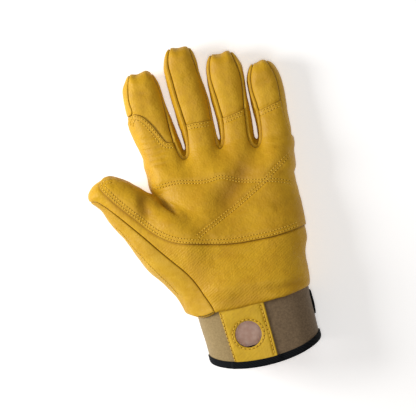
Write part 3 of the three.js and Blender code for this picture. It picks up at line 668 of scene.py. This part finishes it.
def sew(name, rows, ground, materials, pitch=PITCH, radius=THREAD, hole=0.38):
    # Stitches along rows in plan, lying on top of the ground mesh
    tree = BVHTree.FromPolygons(ground[0].tolist(), ground[1].tolist())
    bars, dots = [], []
    ring = 2 * np.pi * np.arange(SIDES) / SIDES
    for row in rows:
        spots = []
        for px, py in evenly(row, pitch):
            spot, normal, _, _ = tree.ray_cast(Vector((px, py, 90)), Vector((0, 0, -1)))
            found = spot is not None and normal[2] > 0.15
            spots.append((np.array(spot), np.array(normal)) if found else None)
        for first, second in zip(spots[:-1], spots[1:]):
            if first is None or second is None or abs(first[0][2] - second[0][2]) > pitch:
                continue
            (a, up), b = first, second[0]
            along = unit((b - a)[None])[0]
            across = unit(np.cross(up, along)[None])[0]
            above = np.cross(along, across)
            for share, lift, size in STITCH:
                centre = a + (b - a) * share + above * lift
                bars.append(centre + radius * size * (np.cos(ring)[:, None] * across
                                                      + np.sin(ring)[:, None] * above * 0.8))
            dots.append(np.vstack([a + above * 0.12, a + above * 0.03 + hole * (
                np.cos(ring)[:, None] * across + np.sin(ring)[:, None] * along)]))
    count = len(dots)
    end = (len(STITCH) - 1) * SIDES
    bar_faces = []
    for k in range(SIDES):
        following = (k + 1) % SIDES
        for step in range(len(STITCH) - 1):
            low, high = step * SIDES, (step + 1) * SIDES
            bar_faces.append((low + k, low + following, high + following))
            bar_faces.append((low + k, high + following, high + k))
    for k in range(1, SIDES - 1):
        bar_faces.append((0, k + 1, k))
        bar_faces.append((end, end + k, end + k + 1))
    dot_faces = [(0, 1 + k, 1 + (k + 1) % SIDES) for k in range(SIDES)]
    bar_size = end + SIDES
    faces = [np.array(bar_faces) + bar_size * k for k in range(count)]
    faces += [np.array(dot_faces) + bar_size * count + (SIDES + 1) * k for k in range(count)]
    indices = [0] * (len(bar_faces) * count) + [1] * (len(dot_faces) * count)
    points = np.vstack([np.vstack(bars), np.vstack(dots)])
    piece = mesh_object(name, points, np.vstack(faces), materials, indices=indices)


sew("grip_patch_stitches", stitch_rows, (grip_points, grip_faces), [thread, needle_hole])

# Gussets: narrow strips between the fingers, sewn to the palm panel on one edge and to the back on the other.
# They make the sides of the fingers and turn over the web in a soft rolled rim.
BELOW = 4.5  # the lower seam is this far below the middle of the fingers
rest_table, rest_faces = cut(table, faces, -GAP - table[:, COLUMN["palm"]])
rx, ry, rz = rest_table[:, :3].T


def centre_line(name, y):
    edges = np.array(FINGERS[name]["edges"])
    return (np.interp(y, edges[:, 0], edges[:, 1]) + np.interp(y, edges[:, 0], edges[:, 2])) / 2


def panel(name, node, share, material, lip=0.0):
    # A panel where the share is positive, which is its distance to its own seam
    own, palm = rest_table.shape[1], rest_table.shape[1] + 1
    values = np.column_stack([rest_table, share - GAP, -GAP - rest_table[:, COLUMN["palm"]]])
    mesh = cut(values, rest_faces, values[:, own])
    seams = [(own, 1.4, 1.1), (palm, 1.5, 1.25)]
    piece, points, faces = leather_piece(name, *mesh, material, seams, hem=True, lip=lip)
    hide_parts(node)
    return points, faces


back_share = np.full(len(rx), 99.0)
names = list(FINGERS)
for left, right in zip(names[:-1], names[1:]):
    between = np.minimum(rx - centre_line(left, ry), centre_line(right, ry) - rx)
    share = np.minimum(np.minimum(between, ry - 132), rz - body_middle(ry) + BELOW)
    panel(f"{left}_{right}_gusset", f"gusset_{left}_{right}", share, gold, lip=1.9)
    back_share = np.minimum(back_share, -share)

# Thumb panel: a strip of paler, smoother leather down the outside of the thumb, from its tip to the hem. It
# is sewn to the palm panel in front and to the back panel underneath, and a row of stitches runs along its
# outer edge.
pale = leather("pale_smooth_goatskin", "be9019", "c6991e", "cca026", roughness=0.5, pore=1.1,
               heel_lines=0.15)
THUMB_ZONE = [(-22.4, -5), (-22.4, 20), (-32, 44), (-46, 63), (-64.5, 85), (-81, 103.5), (-93, 116),
              (-99, 121), (-112, 124), (-125, 124), (-125, -5)]
THUMB_LOW = np.array([(20, 12), (60, 13), (110, 18), (140, 19)])  # y and height of its lower seam
THUMB_OUTER = [(-90, 97.5), (-86, 93.2), (-81.8, 85.5), (-77, 77), (-73.2, 71.6), (-68.6, 64.2),
               (-63.6, 57.2), (-59.4, 51.2), (-54.6, 44.4), (-50, 37)]
above_low = rz - np.interp(ry, THUMB_LOW[:, 0], THUMB_LOW[:, 1])
thumb_share = np.minimum(inside(np.array(THUMB_ZONE), rx, ry), above_low)
back_share = np.minimum(back_share, -thumb_share)
thumb_ground = panel("thumb_leather", "thumb_panel", thumb_share, pale)
sew("thumb_stitches", [smooth(THUMB_OUTER, closed=False)], thumb_ground, [thread, needle_hole])

# A short row in black thread closes its hem beside the seam
black_thread, tree, shader = new_material("black_polyester_thread", 0.6, ior=1.58)
shader.inputs["Base Color"].default_value = linear("121212")
sew("hem_stitches", [[(-37.5, 18.2), (-33.5, 17.7), (-29, 18.5), (-25.6, 19.8)]], thumb_ground,
    [black_thread, needle_hole], pitch=2.0, radius=0.3)

# Back panel: one piece of the gold leather for the back of the glove, the fingers and the underside of the
# thumb. It wraps round to the seams at the outer sides of the index and little fingers.
panel("back_leather", "back_panel", back_share, gold)

# Cuff band: a 3 mm foam band faced with khaki knitted polyester, sewn inside the hem. Its rim hangs lower on
# the palm side, and a 20 mm hole is punched through it under the tab.
CUFF_LEFT = (-38.5, -34)  # at the hem and at the rim
CUFF_RIGHT = (50.8, 53.4)
CUFF_HALF, CUFF_MIDDLE, CUFF_FLOOR, CUFF_EDGE = 22.6, 24.6, 2.4, 30
FOAM = 3
TUCK = 6  # the band reaches this far under the leather
HEM_Y, HEM_SLOPE = 18.5, 0.095
RIM_Y, RIM_SLOPE = -17.2, 0.06
RIM_DROP = 11.4  # how much lower the rim hangs in the middle of the palm side
AROUND = 300  # points round the cuff
HOLE = np.array([-1.9, -1.8])
HOLE_RADIUS = 10.2


def hem_line(x):
    return HEM_Y + HEM_SLOPE * x


def rim_line(x, palm_side):
    across = np.clip((x + 34) / 43.7 - 1, -1, 1)
    drop = RIM_DROP * (1 - across**2) ** 0.65
    return RIM_Y + RIM_SLOPE * x - np.where(palm_side, drop, 0)


def ease(t):
    t = np.clip(t, 0, 1)
    return t * t * (3 - 2 * t)


def cuff_point(angle, y, out=0.0):
    # A point on the cuff's outer side, moved out by that much
    t = np.clip((HEM_Y - y) / (HEM_Y - RIM_Y), 0, 1)
    left = CUFF_LEFT[0] + (CUFF_LEFT[1] - CUFF_LEFT[0]) * t - out
    right = CUFF_RIGHT[0] + (CUFF_RIGHT[1] - CUFF_RIGHT[0]) * t + out
    half, depth = (right - left) / 2, CUFF_HALF + out
    c, s = np.cos(angle), np.sin(angle)
    across = np.sign(c) * np.abs(c) ** (2 / ROUND)
    up = np.sign(s) * np.abs(s) ** (2 / ROUND)
    flat = (half - CUFF_EDGE) * (2 * ease(0.5 + c) - 1)
    px = (left + right) / 2 + flat + np.minimum(CUFF_EDGE, half) * across
    pz = CUFF_MIDDLE + depth * up
    pz = -blend(-pz, -(CUFF_FLOOR - out) + 0 * pz, 0.8)
    return np.stack([px, y + 0 * px, pz], axis=-1)


def grid_faces(rows, count, closed=True):
    # Triangles of a grid of points, row by row
    last = count if closed else count - 1
    i, j = np.meshgrid(np.arange(rows - 1), np.arange(last), indexing="ij")
    a, b = (i * count + j).ravel(), (i * count + (j + 1) % count).ravel()
    return np.vstack([np.column_stack([a, b, b + count]), np.column_stack([a, b + count, a + count])])


angles = 2 * np.pi * np.arange(AROUND) / AROUND
at_rim = cuff_point(angles, np.full(AROUND, -17.0))
at_hem = cuff_point(angles, np.full(AROUND, 20.0))
rim_y = rim_line(at_rim[:, 0], np.sin(angles) > 0)
hem_y = hem_line(at_hem[:, 0])
# The knitted face is matt and even, with a little fuzz
foam, tree, shader = new_material("khaki_knitted_polyester", 0.85, ior=1.58, specular=0.25)
place = add(tree, "ShaderNodeTexCoord").outputs["Object"]
# Courses of the knit 0.9 mm apart, twice as coarse as the real ones so that they show
KNIT = math.tau / 20 / 0.0009
course = add(tree, "ShaderNodeTexWave", {"Vector": place}, {"Scale": KNIT, "Distortion": 1.5},
             bands_direction="Y")
wale = add(tree, "ShaderNodeTexWave", {"Vector": place}, {"Scale": KNIT, "Distortion": 1.5},
           bands_direction="X")
knit = add(tree, "ShaderNodeMath", {0: course.outputs[1], 1: wale.outputs[1]}, operation="MULTIPLY")
cloud = add(tree, "ShaderNodeTexNoise", {"Vector": place}, {"Scale": 1 / 0.0014, "Detail": 2.0})
shade = add(tree, "ShaderNodeMath", {0: knit.outputs[0], 2: cloud.outputs[0]}, {1: 0.3},
            operation="MULTIPLY_ADD")
# Lit and shaded copies of the same knit tones, for painted light
shaded_knit_tones = add(tree, "ShaderNodeValToRGB", {"Fac": shade.outputs[0]},
                ramp=((0.35, "67553f"), (0.8, "806b50")))
lit_knit_tones = add(tree, "ShaderNodeValToRGB", {"Fac": shade.outputs[0]},
                ramp=((0.35, "8f7a52"), (0.8, "a48d61")))
# Painted light: the knit is drawn as a lit pale tan on the thumb side of the tab and as a shaded taupe copy
# of it from under the tab on, for the light that falls from the left
across = add(tree, "ShaderNodeSeparateXYZ", {0: place})
change = add(tree, "ShaderNodeMapRange", {"Value": across.outputs[0]}, {"From Min": 0.008, "From Max": 0.03})
tones = add(tree, "ShaderNodeMix", {0: change.outputs[0], 6: lit_knit_tones.outputs[0], 7: shaded_knit_tones.outputs[0]},
            data_type="RGBA")
tree.links.new(tones.outputs[2], shader.inputs["Base Color"])
shader.inputs["Sheen Weight"].default_value = 0.15
bump = add(tree, "ShaderNodeBump", {"Height": knit.outputs[0]}, {"Strength": 0.5, "Distance": 0.0002})
tree.links.new(bump.outputs[0], shader.inputs["Normal"])

# Brushed polyester tricot lining, soft and fuzzy, in a pinkish tan. Its tones are drawn paler than the
# lining's own colour, as painted light inside the shaded cuff
lining, tree, shader = new_material("pinkish_tan_tricot_lining", 0.95, ior=1.58, specular=0.2)
place = add(tree, "ShaderNodeTexCoord").outputs["Object"]
nap = add(tree, "ShaderNodeTexNoise", {"Vector": place}, {"Scale": 1 / 0.004, "Detail": 4.0})
tones = add(tree, "ShaderNodeValToRGB", {"Fac": nap.outputs[0]}, ramp=((0.35, "eac8b6"), (0.65, "fae0d2")))
tree.links.new(tones.outputs[0], shader.inputs["Base Color"])

BAND_ROWS = 64
share = np.linspace(0, 1, BAND_ROWS)[:, None]
band_y = (rim_y + 2.2)[None] * (1 - share) + (hem_y + TUCK)[None] * share
band = cuff_point(np.broadcast_to(angles, band_y.shape), band_y)
around, along = np.roll(band, -1, 1) - np.roll(band, 1, 1), np.gradient(band, axis=0)
band_table = np.column_stack([band.reshape(-1, 3), unit(np.cross(along, around).reshape(-1, 3))])
from_hole = np.hypot(*(band_table[:, :2] - HOLE).T) - HOLE_RADIUS
from_hole = np.where(band_table[:, 2] > CUFF_MIDDLE, from_hole, 30)
band_table, band_faces = cut(band_table, grid_faces(BAND_ROWS, AROUND)[:, ::-1], from_hole)
band_normals = unit(band_table[:, 3:6])
band_points = band_table[:, :3] + band_normals * 0.25 * lumps(band_table[:, :3], 14, 5)[:, None]
closed, all_faces = wall(band_points, band_faces, band_normals, FOAM)
sides = np.zeros(len(all_faces), int)
sides[len(band_faces) : 2 * len(band_faces)] = 1  # the inner side
cuff_band = mesh_object("cuff_band_foam", closed, all_faces, [foam, lining], indices=sides)
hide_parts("cuff_band")

# Cuff tab: a strip of leather from the hem to the rim, sewn down on both sides, with the clip hole punched
# through it and a ring of stitches round the hole.
TAB_TOP, TAB_BOTTOM = (-22, 13.8), (-15.8, 18.0)  # left and right edge at the hem and at the rim
TAB = 1.4  # thickness
TAB_EDGE = 6  # column of the distance to its nearest edge
TAB_ACROSS, TAB_ALONG = 61, 75
TAB_ROWS = [[(-20.3, 17), (-19.2, 7.2), (-18.0, -3.6), (-16.3, -14.5), (-15.2, -21.4)],
            [(11.2, 18.4), (12.6, 6.5), (13.9, -4.4), (15.2, -20)]]
RING = (12.3, 11.5)  # half width and half length of the ring of stitches


def on_cuff(x, y, out):
    # The points of the palm side of the cuff over places in plan
    across = np.linspace(0.02, np.pi - 0.02, 400)
    heights = np.empty(x.shape)
    for index in np.ndindex(x.shape):
        ring = cuff_point(across, np.full(400, y[index]), out)
        heights[index] = np.interp(-x[index], -ring[:, 0], ring[:, 2])
    return np.stack([x, y, heights], axis=-1)


across, along = np.meshgrid(np.linspace(0, 1, TAB_ACROSS), np.linspace(0, 1, TAB_ALONG), indexing="xy")
tab_left = TAB_TOP[0] + (TAB_BOTTOM[0] - TAB_TOP[0]) * along
tab_right = TAB_TOP[1] + (TAB_BOTTOM[1] - TAB_TOP[1]) * along
tab_x = tab_left + (tab_right - tab_left) * across
tab_start = hem_line(tab_x) + 3
tab_y = tab_start + (rim_line(tab_x, True) + 3 - tab_start) * along
tab_grid = on_cuff(tab_x, tab_y, 0.3 + TAB)
tab_normals = unit(np.cross(np.gradient(tab_grid, axis=1), -np.gradient(tab_grid, axis=0)).reshape(-1, 3))
tab_side = np.minimum(tab_x - tab_left, tab_right - tab_x).ravel()
from_hole = np.hypot(tab_x - HOLE[0], tab_y - HOLE[1]).ravel() - HOLE_RADIUS
tab_table = np.column_stack([tab_grid.reshape(-1, 3), tab_normals, np.minimum(tab_side, from_hole)])
tab_table, tab_faces = cut(tab_table, grid_faces(TAB_ALONG, TAB_ACROSS, closed=False)[:, ::-1], from_hole)
for distance in (0.3, 0.9):
    tab_table, tab_faces, _ = split(tab_table, tab_faces, tab_table[:, TAB_EDGE] - distance)
px, py = tab_table[:, 0], tab_table[:, 1]
groove = 0.7 * fall((np.hypot((px - HOLE[0]) / RING[0], (py - HOLE[1]) / RING[1]) - 1) * RING[0], 1.1)
for row in TAB_ROWS:
    groove = np.maximum(groove, fall(nearest(smooth(row, closed=False), px, py)[0], 1.1))
tab_drop = edge_drop(tab_table[:, TAB_EDGE], 1.1)
tab_relief = 0.35 * lumps(tab_table[:, :3], 9, 2) - 0.55 * groove - 1.2 * tab_drop
tab_normals = unit(tab_table[:, 3:6])
tab_outer = tab_table[:, :3] + tab_normals * tab_relief[:, None]
tab_leather = leather("tab_goatskin", "caa01a", "d3aa22", "daaf2a", roughness=0.5, heel_lines=0.3)
# Painted shade: darker along the tab's rounded edges and in its stitch grooves
tab_shades = [("seam", np.tile(tab_table[:, TAB_EDGE] + 0.3, 2)), ("fold", np.tile(1.2 * groove, 2))]
cuff_tab = mesh_object("cuff_tab_leather", *wall(tab_outer, tab_faces, tab_normals, TAB - 0.2),
                       [tab_leather], tab_shades)
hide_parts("cuff_tab")
turn = np.linspace(0, 2 * np.pi, 49)
ring_row = HOLE + np.column_stack([RING[0] * np.cos(turn), RING[1] * np.sin(turn)])
sew("tab_stitches", [smooth(row, closed=False) for row in TAB_ROWS] + [ring_row], (tab_outer, tab_faces),
    [thread, needle_hole], pitch=3.3, hole=0.52)

# Binding: black woven polyester tape, 6 mm deep, folded over the rim of the cuff and sewn through. It covers
# the raw edges of the band and of the tab.
BINDING = 6
# Section of the folded tape: how far out from the cuff's outer side, how far up from the rim
BINDING_SECTION = [
    (0.35, BINDING), (0.9, BINDING - 0.15), (1.1, BINDING - 0.8), (0.95, 4.6), (1.1, 3.4), (1.1, 1.6),
    (0.8, 0.5), (-0.2, 0.05), (-2.8, 0.05), (-3.8, 0.5), (-4.1, 1.6), (-4.1, 3.2), (-3.9, 3.9), (-3.3, 4),
    (-3.2, 2), (-1.5, 1.8), (0.15, 2),
]
# The tape is matt, and its weave shows as fine ribs 1.2 mm apart
tape, tree, shader = new_material("black_woven_polyester_tape", 0.85, ior=1.58, specular=0.12)
place = add(tree, "ShaderNodeTexCoord").outputs["Object"]
rib = add(tree, "ShaderNodeTexWave", {"Vector": place}, {"Scale": math.tau / 20 / 0.0012, "Distortion": 1.0},
          bands_direction="DIAGONAL")
tones = add(tree, "ShaderNodeValToRGB", {"Fac": rib.outputs[1]}, ramp=((0.0, "07090b"), (1.0, "14171b")))
tree.links.new(tones.outputs[0], shader.inputs["Base Color"])
bump = add(tree, "ShaderNodeBump", {"Height": rib.outputs[1]}, {"Strength": 0.5, "Distance": 0.0002})
tree.links.new(bump.outputs[0], shader.inputs["Normal"])


# It rises over the end of the tab
on_tab = (np.sin(angles) > 0) * ease((at_rim[:, 0] + 18.5) / 3) * ease((21 - at_rim[:, 0]) / 3)
loops = []
for out, up in BINDING_SECTION:
    loops.append(cuff_point(angles, rim_y + up, out + 1.3 * on_tab * (out > 0.4)))
binding_faces = grid_faces(len(loops) + 1, AROUND) % (len(loops) * AROUND)
binding = mesh_object("rim_binding", np.vstack(loops), binding_faces, [tape])
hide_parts("cuff_binding")

# Closure strap: a black hook-and-loop strap sewn to the cuff at the little-finger side, round the back of
# the cuff. Only its edge shows from the palm.
STRAP = 19  # width
STRAP_END = 14  # its free end, left of the middle
STRAP_BELOW = 0.2  # from the hem to its upper edge
STRAP_RISE = 0.09  # radians past the side of the cuff
STRAP_SECTION = [
    (0.3, 0), (0.3, STRAP), (0.8, STRAP + 0.1), (1.2, STRAP - 0.5), (1.4, STRAP - 2), (1.8, STRAP - 6),
    (1.9, STRAP / 2), (1.8, 6), (1.5, 2.5), (1.3, 1), (0.9, -0.1),
]
below = np.sin(angles) < 0
strap_start = angles[np.argmin(np.abs(at_hem[:, 0] + STRAP_END) + 100 * ~below)]
strap_angles = np.linspace(strap_start, 2 * np.pi + STRAP_RISE, 130)
strap_x = cuff_point(strap_angles, np.full(130, 8.0))[:, 0]
narrow = 1 - 0.22 * edge_drop(strap_x + STRAP_END, 4)
loops = []
for out, across in STRAP_SECTION:
    shift = STRAP / 2 + (across - STRAP / 2) * narrow
    loops.append(cuff_point(strap_angles, hem_line(strap_x) - STRAP_BELOW - shift, out))
count = len(strap_angles)
strap_faces = grid_faces(len(loops) + 1, count, closed=False) % (len(loops) * count)
fan = np.arange(1, len(loops) - 1)
caps = [np.column_stack([0 * fan, fan * count, (fan + 1) * count]),
        np.column_stack([0 * fan, (fan + 1) * count, fan * count]) + count - 1]
strap = mesh_object("wrist_strap", np.vstack(loops), np.vstack([strap_faces, *caps])[:, ::-1], [tape])
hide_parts("closure_strap")

# Studio: a pale matt floor that glows a little, a large soft key light from the left, a small one from above
# that reaches into the clip hole, and a pale room that fills the rest.
floor_mesh = bpy.data.meshes.new("floor")
floor_mesh.from_pydata([(-1.5, -1.5, 0), (1.5, -1.5, 0), (1.5, 1.5, 0), (-1.5, 1.5, 0)], [], [(0, 1, 2, 3)])
floor = bpy.data.objects.new("floor", floor_mesh)
bpy.context.scene.collection.objects.link(floor)
paper, tree, shader = new_material("matt_white_paper", 0.9, specular=0.2)
shader.inputs["Base Color"].default_value = linear("f6f6f6")
shader.inputs["Emission Color"].default_value = linear("ffffff")
shader.inputs["Emission Strength"].default_value = 0.4
floor_mesh.materials.append(paper)


def light(name, place, size, watts):
    lamp = bpy.data.lights.new(name, "AREA")
    lamp.size = size
    lamp.energy = watts
    piece = bpy.data.objects.new(name, lamp)
    piece.location = place
    piece.rotation_euler = (-Vector(place)).to_track_quat("-Z", "Y").to_euler()
    bpy.context.scene.collection.objects.link(piece)


light("key_light", (-0.6, 0.12, 0.38), 0.32, 4.9)
light("top_light", (0.02, -0.08, 1.6), 0.3, 5.2)
world = bpy.data.worlds.new("pale_room")
world.use_nodes = True
world.node_tree.nodes["Background"].inputs["Color"].default_value = linear("fff6ee")
world.node_tree.nodes["Background"].inputs["Strength"].default_value = 0.24
bpy.context.scene.world = world
bpy.context.scene.view_settings.view_transform = "Standard"

# Camera: straight above the palm, far off with a long lens so that it sees almost no perspective, and turned
# so that the fingers lean to the left.
TURN = math.radians(10)
MM_PER_PIXEL = 0.78  # at the middle of the glove's height
IMAGE = 416  # pixels
DISTANCE = 1.9  # metres above the middle of the glove's height
camera = bpy.data.cameras.new("camera")
camera.sensor_width = 36
camera.lens = 36 * DISTANCE / (IMAGE * MM_PER_PIXEL / 1000)
camera.clip_end = 20
camera_object = bpy.data.objects.new("camera", camera)
camera_object.location = ((-15.74 - MIDDLE[0]) / 1000, (99.4 - MIDDLE[1]) / 1000, DISTANCE + 0.025)
camera_object.rotation_euler = (0, 0, -TURN)
bpy.context.scene.collection.objects.link(camera_object)
bpy.context.scene.camera = camera_object
